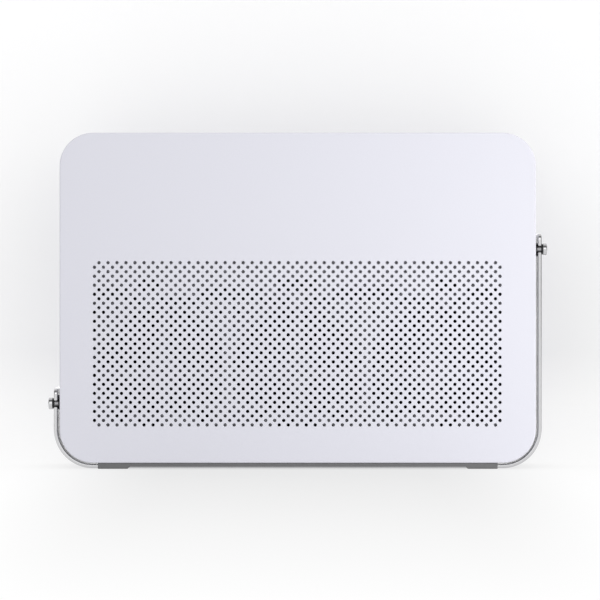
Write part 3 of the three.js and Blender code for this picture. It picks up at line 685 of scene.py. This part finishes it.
add_piece("sided_body_shell", body_shell(), SHELL_PLASTIC, ["body_shell"])
add_piece("slotted_rear_cover", rear_cover(), SHELL_PLASTIC, ["rear_cover"])
for number, (x, z) in enumerate(cover_posts(), 1):
    add_piece("cover_screw_head_%d" % number,
              about_y(recessed_head(2.6, 1.1, 1.3, 10, 1.45, 0.35, 0.8), x, REAR - 1.15, z),
              STEEL, ["cover_screw_%d" % number])


# ---- Cradle ----

STRAP_MID = STRAP["radius"] + STRAP["thick"] / 2
SIDE_X = STRAP["inner"] + STRAP["thick"] / 2
BEND_Z = STRAP["ground"] + STRAP["thick"] + STRAP["radius"]
LEFT_RUN = SCREW_Z["left"] + STRAP["above"] - BEND_Z
RIGHT_RUN = SCREW_Z["right"] + STRAP["above"] - BEND_Z
BEND = STRAP_MID * math.pi / 2
FLAT_RUN = 2 * (SIDE_X - STRAP_MID)
STRAP_LENGTH = LEFT_RUN + BEND + FLAT_RUN + BEND + RIGHT_RUN


def bent(s, out):
    """X and Z of a point s along the band's middle from its left tip, out beyond that middle."""
    if s < LEFT_RUN:
        return -SIDE_X - out, BEND_Z + LEFT_RUN - s
    s -= LEFT_RUN
    if s < BEND:
        a = s / STRAP_MID
        return -SIDE_X + STRAP_MID - (STRAP_MID + out) * math.cos(a), BEND_Z - (STRAP_MID + out) * math.sin(a)
    s -= BEND
    if s < FLAT_RUN:
        return -SIDE_X + STRAP_MID + s, BEND_Z - STRAP_MID - out
    s -= FLAT_RUN
    if s < BEND:
        a = s / STRAP_MID
        return SIDE_X - STRAP_MID + (STRAP_MID + out) * math.sin(a), BEND_Z - (STRAP_MID + out) * math.cos(a)
    return SIDE_X + out, BEND_Z + s - BEND


def strap_pattern():
    """The band laid flat: rounded ends, slots in from both edges at the screws, two windows for the feet."""
    h, slot, above = STRAP["half"], STRAP["slot"], STRAP["above"]

    def notch(s, edge, forwards):
        """Points of a slot at s from the edge inwards and back."""
        step = 1 if forwards else -1
        inner = edge - math.copysign(h - SCREW_Y, edge)
        half = [math.pi * k / 12 for k in range(13)]
        arc = [(s - step * slot * math.cos(a), inner - math.copysign(slot * math.sin(a), edge)) for a in half]
        return [(s - step * slot, edge)] + arc + [(s + step * slot, edge)]

    lower = notch(above, -h, True) + notch(STRAP_LENGTH - above, -h, True)
    upper = notch(STRAP_LENGTH - above, h, False) + notch(above, h, False)
    corners = [(0, -h), *lower, (STRAP_LENGTH, -h), (STRAP_LENGTH, h), *upper, (0, h)]
    radii = [STRAP["end"] if i in (0, len(lower) + 1, len(lower) + 2, len(corners) - 1) else 0
             for i in range(len(corners))]
    middle = STRAP_LENGTH / 2 + (LEFT_RUN - RIGHT_RUN) / 2
    windows = []
    for side in (-1, 1):
        ends = sorted((middle + side * WINDOW["inner"], middle + side * WINDOW["outer"]))
        windows.append(rounded_rect(ends[0], -WINDOW["half"], ends[1], WINDOW["half"], 1.0, 5))
    return [fillet(corners, radii, 8, closed=True)] + windows


def strap():
    bm = plate(strap_pattern(), STRAP["thick"], STRAP["edge"], 4)
    cuts = [LEFT_RUN + BEND * k / 28 for k in range(29)]
    cuts += [LEFT_RUN + BEND + FLAT_RUN + BEND * k / 28 for k in range(29)]
    for s in cuts:
        bmesh.ops.bisect_plane(bm, geom=list(bm.verts) + list(bm.edges) + list(bm.faces), dist=1e-4,
                               plane_co=(s, 0, 0), plane_no=(1, 0, 0))
    flat = bm.loops.layers.uv.new("flat")
    for face in bm.faces:
        for loop in face.loops:
            loop[flat].uv = (loop.vert.co.x * MM, loop.vert.co.y * MM + loop.vert.co.z * MM)
    for vert in bm.verts:
        s, y, out = vert.co
        x, z = bent(s, out)
        vert.co = (x, y, z)
    return bm


add_piece("bent_metal_cradle", strap(), STRAP_METAL, ["stand_strap"])


# ---- Pad ----

def base_pad():
    """A thin sheet, a lip on each long edge that steps down to the feet, and blocks through the windows."""
    half, foot, step, top, under, lip = (PAD[key] for key in ("half", "foot", "step", "top", "under", "lip"))
    reach = PAD["front"] - 0.4
    flat = rounded_rect(-half + 0.2, -reach, half - 0.2, reach, 1.2, 6)
    sheet = placed(plate([flat], top - under - 0.02, 0.2), (1, 0, 0), (0, 1, 0), (0, 0, 1),
                   (0, 0, (top + under) / 2 - 0.01))
    outline = fillet([
        (-half, 0), (-foot, 0), (-foot + step, step), (foot - step, step), (foot, 0), (half, 0),
        (half, top), (-half, top)], 0.25, 3, closed=True)
    middle = PAD["front"] - lip / 2
    parts = [facing_front(plate([outline], lip, 0.35), side * middle) for side in (-1, 1)]
    for side in (-1, 1):
        x0, x1 = sorted((side * (WINDOW["inner"] + GAP), side * (WINDOW["outer"] - GAP)))
        depth = WINDOW["half"] - GAP
        parts.append(rounded_box(x0, -depth, 0, x1, depth, under + 0.3, 0.3))
    return merged(sheet, *parts)


add_piece("rubber_base_pad", base_pad(), PAD_RUBBER, ["base_pad"])


# ---- Clamp screws and washers ----

def hexagon(angle, flat):
    """Radius of a hexagon, half its width across flats being flat, at that angle."""
    return flat / math.cos((angle % (math.pi / 3)) - math.pi / 6)


def clamp_screw():
    """Cheese head with a hexagonal recess, a shoulder through the band's slot, and a fine thread."""
    outer = STRAP["inner"] + STRAP["thick"] + CLAMP["play"] + WASHER["outer_thick"] + CLAMP["play"]
    end = outer + CLAMP["length"]
    head, shoulder, thread, pitch = (CLAMP[key] for key in ("head", "shoulder", "thread", "pitch"))
    tip = HALF - WALL - CLAMP["reach"]
    profile = [(0, tip), (thread - 0.35, tip), (thread - 0.1, tip + 0.3)]
    crest = tip + 0.3
    while crest + pitch < CLAMP["shoulder_from"]:
        profile += [(thread, crest + pitch * 0.25), (thread, crest + pitch * 0.4),
                    (thread - 0.3, crest + pitch * 0.8)]
        crest += pitch
    profile += [(shoulder, CLAMP["shoulder_from"]), (shoulder, outer)]

    def recess(angle):
        return hexagon(angle, 1.25)

    def recess_mouth(angle):
        return hexagon(angle, 1.40)

    profile += fillet([(shoulder, outer), (head, outer), (head, end), (1.9, end)], [0, 0.25, 0.55, 0], 6)[1:]
    profile += [(recess_mouth, end), (recess, end - 0.15), (recess, end - 1.2), (0, end - 1.5)]
    return turned(profile, 72)


def washer(bore, radius, start, thick, edge):
    rim = fillet([(bore, start), (radius, start), (radius, start + thick), (bore, start + thick)],
                 [edge * 0.5, edge, edge, edge * 0.5], 5, closed=True)
    return turned(rim, 56, closed=True)


for side, sign in (("left", -1), ("right", 1)):
    for end, y in (("front", -SCREW_Y), ("rear", SCREW_Y)):
        key = side + "_" + end
        at = (0, y, SCREW_Z[side], sign)
        add_piece("hex_screw_" + key, moved(clamp_screw(), *at), SCREW_METAL,
                  ["clamp_screw_" + key], body="clamp_screw_" + key, sharp=30)
        inner = washer(WASHER["bore"], WASHER["inner"], HALF + CLAMP["play"], WASHER["inner_thick"], 0.25)
        outer = washer(WASHER["bore"], WASHER["outer"], STRAP["inner"] + STRAP["thick"] + CLAMP["play"],
                       WASHER["outer_thick"], 0.4)
        add_piece("flat_seal_" + key, moved(inner, *at), WASHER_RUBBER,
                  ["inner_washer_" + key])
        add_piece("round_seal_" + key, moved(outer, *at), WASHER_RUBBER,
                  ["outer_washer_" + key])


# ---- Controls on the left side ----

def power_button():
    face = facing_side(plate([power_outline()], 3.6, 0.5, 3), BUTTON_X + 1.8)
    flange = facing_side(plate([power_outline(1.2)], 1.0, 0.1, 1), -HALF + WALL + GAP + 0.5)
    stem = turned([(0, STEM[0]), (1.5, STEM[0]), (1.5, STEM[1]), (0, STEM[1])], 24)
    stem = moved(stem, 0, CONTROL_Y, POWER_Z)
    return union(union(face, flange), stem)


def round_button(radius, flange, dish):
    """Slightly dished front face, a flange behind the wall and a stem."""
    face, wall = BUTTON_X, -HALF + WALL + GAP
    rim = fillet([(0, face + dish), (radius * 0.6, face + dish * 0.6), (radius, face), (radius, wall)],
                 [0, radius * 0.3, 0.3, 0], 5)
    behind = [(flange, wall), (flange, wall + 1), (1.2, wall + 1), (1.2, STEM[1]), (0, STEM[1])]
    return turned(rim + behind, 40)


def light_guide():
    """Three domed rods on one bar."""
    radius, end, half = 1.25, BUTTON_X + 9.8, 1.2
    rods = []
    for z in LAMP_Z:
        dome = fillet([(0, BUTTON_X), (radius, BUTTON_X), (radius, end), (0, end)], [0, 0.7, 0.1, 0], 6)
        rods.append(moved(turned(dome, 32), 0, CONTROL_Y, z))
    whole = rounded_box(-HALF + 5, CONTROL_Y - half, LAMP_Z[-1] - 1,
                        -HALF + 6.5, CONTROL_Y + half, LAMP_Z[0] + 1, 0.2)
    for rod in rods:
        whole = union(whole, rod)
    return whole


add_piece("rounded_power_button", power_button(), KEY, ["power_button"], body="power_button")
add_piece("dished_wps_button", moved(round_button(1.65, 2.8, 0.2), 0, CONTROL_Y, WPS_Z), KEY,
          ["wps_button"], body="wps_button")
add_piece("dished_reset_button", moved(round_button(1.3, 2.5, 0.3), 0, CONTROL_Y, RESET_Z), KEY,
          ["reset_button"], body="reset_button")
add_piece("domed_light_guide", light_guide(), LAMP, ["light_guide"])


# ---- Socket contacts ----

def contact_row(z, count=8, pitch=1.02):
    """Sprung wires that slope out from the back of a network socket."""
    path = [(SOCKET_X + 13.9, BOARD_FACE - 11.2), (SOCKET_X + 4.2, BOARD_FACE - 9.0),
            (SOCKET_X + 3.6, BOARD_FACE - 9.0), (SOCKET_X + 3.0, BOARD_FACE - 9.6)]
    thick = 0.15
    upper = [(x, y + thick) for x, y in path]
    lower = [(x, y - thick) for x, y in path[::-1]]
    wires = []
    for i in range(count):
        wire = plate([upper + lower], 0.5, 0.06, 1)
        height = z + (i - (count - 1) / 2) * pitch
        wires.append(placed(wire, (1, 0, 0), (0, 1, 0), (0, 0, 1), (0, 0, height)))
    return merged(*wires)


def usb_tongue():
    return rounded_box(SOCKET_X + 1.5, BOARD_FACE - 5.2, USB_Z - 5.6,
                       SOCKET_X + 13.2, BOARD_FACE - 3.4, USB_Z + 5.6, 0.2)


def usb_contacts():
    return merged(*[rounded_box(SOCKET_X + 2.3, BOARD_FACE - 3.45, USB_Z + z - 0.5,
                                SOCKET_X + 10, BOARD_FACE - 3.3, USB_Z + z + 0.5, 0.04, 1)
                    for z in (-3.5, -1.0, 1.0, 3.5)])


for number, z in enumerate(LAN_Z, 1):
    add_piece("lan_contacts_%d" % number, contact_row(z), BRASS)
add_piece("wan_contacts", contact_row(WAN_Z), BRASS)
add_piece("usb_tongue", usb_tongue(), BLACK)
add_piece("usb_contacts", usb_contacts(), BRASS)


# ---- Fan rotors ----

def blade(start):
    """One blade: thin curved sections, steeper at the hub, swept forwards towards the tip."""
    bm = bmesh.new()
    stations, half_points = 8, 7
    middle = (ROTOR["front"] + ROTOR["rear"]) / 2
    rows = []
    for k in range(stations):
        t = k / (stations - 1)
        radius = ROTOR["hub"] - 0.6 + t * (ROTOR["tip"] - ROTOR["hub"] + 0.6)
        pitch = math.radians(50 - 20 * t)
        chord = 13.0 + 6.5 * t
        sweep = start + math.radians(16) * t * t
        section = []
        for n in range(2 * half_points):
            upper = n < half_points
            u = (n if upper else 2 * half_points - 1 - n) / (half_points - 1) - 0.5
            u *= 0.995
            thick = 0.62 * math.sqrt(max(0.04, 1 - 4 * u * u))
            camber = chord * 0.09 * (1 - 4 * u * u)
            v = camber + (thick if upper else -thick)
            along = chord * u * math.sin(pitch) + v * math.cos(pitch)
            round_it = chord * u * math.cos(pitch) - v * math.sin(pitch)
            a = sweep + round_it / radius
            depth = min(max(middle + along, ROTOR["front"] + 0.1), ROTOR["rear"] - 0.1)
            section.append((radius * math.sin(a), depth, radius * math.cos(a)))
        rows.append(ring(bm, section))
    for a, b in zip(rows, rows[1:]):
        strip(bm, a, b)
    bm.faces.new(rows[0])
    bm.faces.new(rows[-1][::-1])
    return tidy(bm)


def fan_rotor(x):
    front, rear = ROTOR["front"], ROTOR["rear"]
    bore = ROTOR["bore"]
    hub = fillet([(0, rear - 1.2), (bore, rear - 1.2), (bore, front), (ROTOR["hub"], front),
                  (ROTOR["hub"], rear), (0, rear)], [0, 0, 0.4, 1.2, 0.8, 0], 5)
    whole = about_y(turned(hub, 64), 0, 0, 0)
    for i in range(ROTOR["blades"]):
        whole = union(whole, blade(2 * math.pi * i / ROTOR["blades"]))
    bmesh.ops.translate(whole, vec=(x, 0, FAN_Z), verts=whole.verts)
    return whole


for side, x in FAN_X.items():
    add_piece("bladed_rotor_" + side, fan_rotor(x), ROTOR_PLASTIC, ["fan_rotor_" + side],
              body="fan_rotor_" + side, sharp=40)


# ---- CAD nodes that keep their shape: softened edges and a finish each ----

def refine(node, material, bevel):
    obj = frame["nodes"][node]
    obj.data.materials.clear()
    obj.data.materials.append(material)
    weld = obj.modifiers.new("weld", "WELD")
    weld.merge_threshold = 2e-6
    flatten = obj.modifiers.new("flatten", "DECIMATE")
    flatten.decimate_type = "DISSOLVE"
    flatten.angle_limit = math.radians(0.5)
    if bevel:
        add_bevel(obj, bevel)


refine("fan_bracket", INNER, 0.15)
for side in FAN_X:
    refine("fan_frame_" + side, FRAME_GREY, 0.2)
    refine("fan_lead_" + side, SHEATH, 0)
refine("main_board", BOARD, 0.08)
for number in range(1, 5):
    refine("board_screw_%d" % number, STEEL, 0.12)
refine("shield_can", STEEL, 0.25)
refine("heat_sink", ANODISED, 0.12)
refine("lan_ports", BLACK, 0.15)
refine("wan_port", BLACK, 0.15)
refine("usb_port", STEEL, 0.12)
refine("power_jack", BLACK, 0.15)
refine("button_board", BOARD, 0.08)
for number in range(1, 4):
    refine("antenna_%d" % number, BRASS, 0.08)
    refine("antenna_lead_%d" % number, SHEATH, 0)
for key in ("left_front", "left_rear", "right_front", "right_rear"):
    refine("threaded_insert_" + key, BRASS, 0.1)


# ---- Studio ----

STUDIO_LEVEL = 1.088
GLOW = {"share": 0.75, "up_to": 0.06}
SHADE_X = (0.062, 0.150)                           # the shading fades between these distances to each side


def stage_material(name, depth_axis, depth_range, depth_stops, one_sided):
    """Pale matte surface with a painted shadow, a little darker behind and round the foot of the object; near
    the ground it also glows, as painted light.
    """
    material = bpy.data.materials.new(name)
    material.use_nodes = True
    nodes, links = material.node_tree.nodes, material.node_tree.links
    shader = nodes["Principled BSDF"]
    shader.inputs["Roughness"].default_value = 0.9
    shader.inputs["Specular IOR Level"].default_value = 0.0
    coord = nodes.new("ShaderNodeTexCoord")
    axes = nodes.new("ShaderNodeSeparateXYZ")
    links.new(coord.outputs["Object"], axes.inputs["Vector"])
    across = arithmetic(nodes, "ABSOLUTE")
    links.new(axes.outputs["X"], across.inputs[0])
    beside = remap(nodes, SHADE_X[0], SHADE_X[1], 1, 0.28)
    beside.interpolation_type = "SMOOTHSTEP"
    links.new(across.outputs["Value"], beside.inputs["Value"])
    along = remap(nodes, depth_range[0], depth_range[1])
    links.new(axes.outputs[depth_axis], along.inputs["Value"])
    ramp = nodes.new("ShaderNodeValToRGB")
    fill_ramp(ramp.color_ramp, depth_stops)
    links.new(along.outputs["Result"], ramp.inputs["Fac"])
    dark = arithmetic(nodes, "MULTIPLY")
    links.new(beside.outputs["Result"], dark.inputs[0])
    links.new(ramp.outputs["Color"], dark.inputs[1])
    tone = remap(nodes, 0, 1, 0.98, 0.0)
    links.new(dark.outputs["Value"], tone.inputs["Value"])
    # Painted light: near the ground the surface glows, so that only a faint shadow stays round the foot of
    # the object.
    glow_share = remap(nodes, 0, GLOW["up_to"], GLOW["share"], 0)
    links.new(axes.outputs["Z"], glow_share.inputs["Value"])
    glow = arithmetic(nodes, "MULTIPLY")
    links.new(tone.outputs["Result"], glow.inputs[0])
    links.new(glow_share.outputs["Result"], glow.inputs[1])
    links.new(glow.outputs["Value"], shader.inputs["Emission Color"])
    shader.inputs["Emission Strength"].default_value = STUDIO_LEVEL
    rest = arithmetic(nodes, "SUBTRACT")
    links.new(tone.outputs["Result"], rest.inputs[0])
    links.new(glow.outputs["Value"], rest.inputs[1])
    links.new(rest.outputs["Value"], shader.inputs["Base Color"])
    if one_sided:
        # Seen from its front only, so that it never stands between the object and a camera behind it.
        side = nodes.new("ShaderNodeNewGeometry")
        clear = nodes.new("ShaderNodeBsdfTransparent")
        choose = nodes.new("ShaderNodeMixShader")
        links.new(side.outputs["Backfacing"], choose.inputs["Fac"])
        links.new(shader.outputs["BSDF"], choose.inputs[1])
        links.new(clear.outputs["BSDF"], choose.inputs[2])
        links.new(choose.outputs["Shader"], nodes["Material Output"].inputs["Surface"])
    return material


def fill_ramp(ramp, stops):
    while len(ramp.elements) < len(stops):
        ramp.elements.new(0.5)
    for element, (position, level) in zip(ramp.elements, stops):
        element.position = position
        element.color = (level, level, level, 1)


def stage_sheet(name, path, half_width, material):
    """A sheet that follows a path of (Y, Z) points in metres."""
    mesh = bpy.data.meshes.new(name)
    verts = [(x, y, z) for y, z in path for x in (-half_width, half_width)]
    faces = [(2 * i, 2 * i + 1, 2 * i + 3, 2 * i + 2) for i in range(len(path) - 1)]
    mesh.from_pydata(verts, [], faces)
    mesh.polygons.foreach_set("use_smooth", [True] * len(faces))
    mesh.materials.append(material)
    obj = bpy.data.objects.new(name, mesh)
    scene.collection.objects.link(obj)
    obj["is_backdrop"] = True
    return obj


# Painted shadow: how much darker the floor and the backdrop are along their depth ranges.
FLOOR_SHADE = [(0.0, 0.205), (0.08, 0.205), (0.20, 0.19), (0.33, 0.17), (0.5, 0.135), (0.66, 0.105),
               (0.8, 0.075), (1.0, 0.03)]
WALL_SHADE = [(0.0, 0.205), (0.35, 0.08), (0.7, 0.0)]
SWEEP = {"start": 0.026, "radius": 0.030}          # where the floor turns up, behind the object
HALF_STAGE = 3.0
WALL_Y = SWEEP["start"] + SWEEP["radius"]
stage_sheet("floor", [(-HALF_STAGE, 0), (-1.5, 0), (-0.5, 0), (0, 0), (SWEEP["start"], 0)], HALF_STAGE,
            stage_material("pale_floor", "Y", (-0.026, -0.80), FLOOR_SHADE, False))
arc = [(SWEEP["start"] + SWEEP["radius"] * math.sin(a), SWEEP["radius"] * (1 - math.cos(a)))
       for a in (math.pi / 2 * k / 16 for k in range(17))]
backdrop = stage_sheet("backdrop", arc + [(WALL_Y, 0.5), (WALL_Y, 2.0)], HALF_STAGE,
                       stage_material("pale_backdrop", "Z", (0.0, 0.10), WALL_SHADE, True))
backdrop.visible_diffuse = False
backdrop.visible_glossy = False
backdrop.visible_transmission = False
backdrop.visible_shadow = False

world = bpy.data.worlds.new("studio")
scene.world = world
world.use_nodes = True
sky, links = world.node_tree.nodes, world.node_tree.links
even = sky["Background"]
even.inputs["Color"].default_value = (1, 1, 1, 1)
even.inputs["Strength"].default_value = STUDIO_LEVEL
coord = sky.new("ShaderNodeTexCoord")
axes = sky.new("ShaderNodeSeparateXYZ")
links.new(coord.outputs["Generated"], axes.inputs["Vector"])
# What polished metal mirrors: a bright front, a softbox a little above eye level, darker sides and top.
towards = remap(sky, 1, -1)
links.new(axes.outputs["Y"], towards.inputs["Value"])
level_bands = sky.new("ShaderNodeValToRGB")
level_bands.color_ramp.interpolation = "EASE"
FRONT_BANDS = [(0.80, 0.08), (0.84, 0.30), (0.90, 0.68), (0.96, 0.92), (1.0, 1.0)]
fill_ramp(level_bands.color_ramp, [(0.0, 1.6), (0.04, 1.35), (0.12, 0.9), (0.25, 0.45), (0.45, 0.20),
                                   (0.66, 0.12)] + FRONT_BANDS)
links.new(towards.outputs["Result"], level_bands.inputs["Fac"])
upper_bands = sky.new("ShaderNodeValToRGB")
upper_bands.color_ramp.interpolation = "EASE"
fill_ramp(upper_bands.color_ramp, [(0.0, 1.3), (0.10, 1.05), (0.5, 0.90), (0.62, 0.75),
                                   (0.70, 0.15)] + FRONT_BANDS)
links.new(towards.outputs["Result"], upper_bands.inputs["Fac"])
raised = remap(sky, 0.3, 0.8)
links.new(axes.outputs["Z"], raised.inputs["Value"])
bands = sky.new("ShaderNodeMix")
bands.data_type = "RGBA"
links.new(raised.outputs["Result"], bands.inputs["Factor"])
links.new(level_bands.outputs["Color"], bands.inputs["A"])
links.new(upper_bands.outputs["Color"], bands.inputs["B"])
box_height = sky.new("ShaderNodeValToRGB")
fill_ramp(box_height.color_ramp, [(0.0, 0.0), (0.52, 0.0), (0.55, 1.0), (0.64, 1.0), (0.69, 0.0)])
height = remap(sky, -1, 1)
links.new(axes.outputs["Z"], height.inputs["Value"])
links.new(height.outputs["Result"], box_height.inputs["Fac"])
box_front = remap(sky, 0.90, 0.97)
links.new(towards.outputs["Result"], box_front.inputs["Value"])
softbox_light = arithmetic(sky, "MULTIPLY")
links.new(box_height.outputs["Color"], softbox_light.inputs[0])
links.new(box_front.outputs["Result"], softbox_light.inputs[1])
mirrored = arithmetic(sky, "ADD")
links.new(bands.outputs["Result"], mirrored.inputs[0])
links.new(softbox_light.outputs["Value"], mirrored.inputs[1])
shiny = sky.new("ShaderNodeBackground")
links.new(mirrored.outputs["Value"], shiny.inputs["Color"])
path = sky.new("ShaderNodeLightPath")
choose = sky.new("ShaderNodeMixShader")
links.new(path.outputs["Is Glossy Ray"], choose.inputs["Fac"])
links.new(even.outputs["Background"], choose.inputs[1])
links.new(shiny.outputs["Background"], choose.inputs[2])
links.new(choose.outputs["Shader"], sky["World Output"].inputs["Surface"])


def softbox(name, place, aim, size, power):
    """A round soft light at a place, turned towards a point."""
    light = bpy.data.lights.new(name, "AREA")
    light.shape = "DISK"
    light.size = size
    light.energy = power
    obj = bpy.data.objects.new(name, light)
    scene.collection.objects.link(obj)
    obj.location = place
    obj.rotation_euler = (Vector(aim) - Vector(place)).to_track_quat("-Z", "Y").to_euler()
    return obj


key_light = softbox("key", (0.46, -0.50, 0.10), (0.06, 0, 0.08), 0.35, 3.0)
lit = bpy.data.collections.new("lit_by_key")
for obj in list(scene.objects):
    if obj.type != "MESH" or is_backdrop(obj):
        continue
    if not {STRAP_METAL, SCREW_METAL} & set(obj.data.materials):
        lit.objects.link(obj)
key_light.light_linking.receiver_collection = lit

camera_data = bpy.data.cameras.new("camera")
camera_data.sensor_width = 36
camera_data.lens = 169.9
camera_data.clip_end = 20
camera = bpy.data.objects.new("camera", camera_data)
camera.location = (0.00117, -1.5, 0.08793)
camera.rotation_euler = (math.pi / 2, 0, 0)
scene.collection.objects.link(camera)
scene.camera = camera

scene.view_settings.view_transform = "Standard"
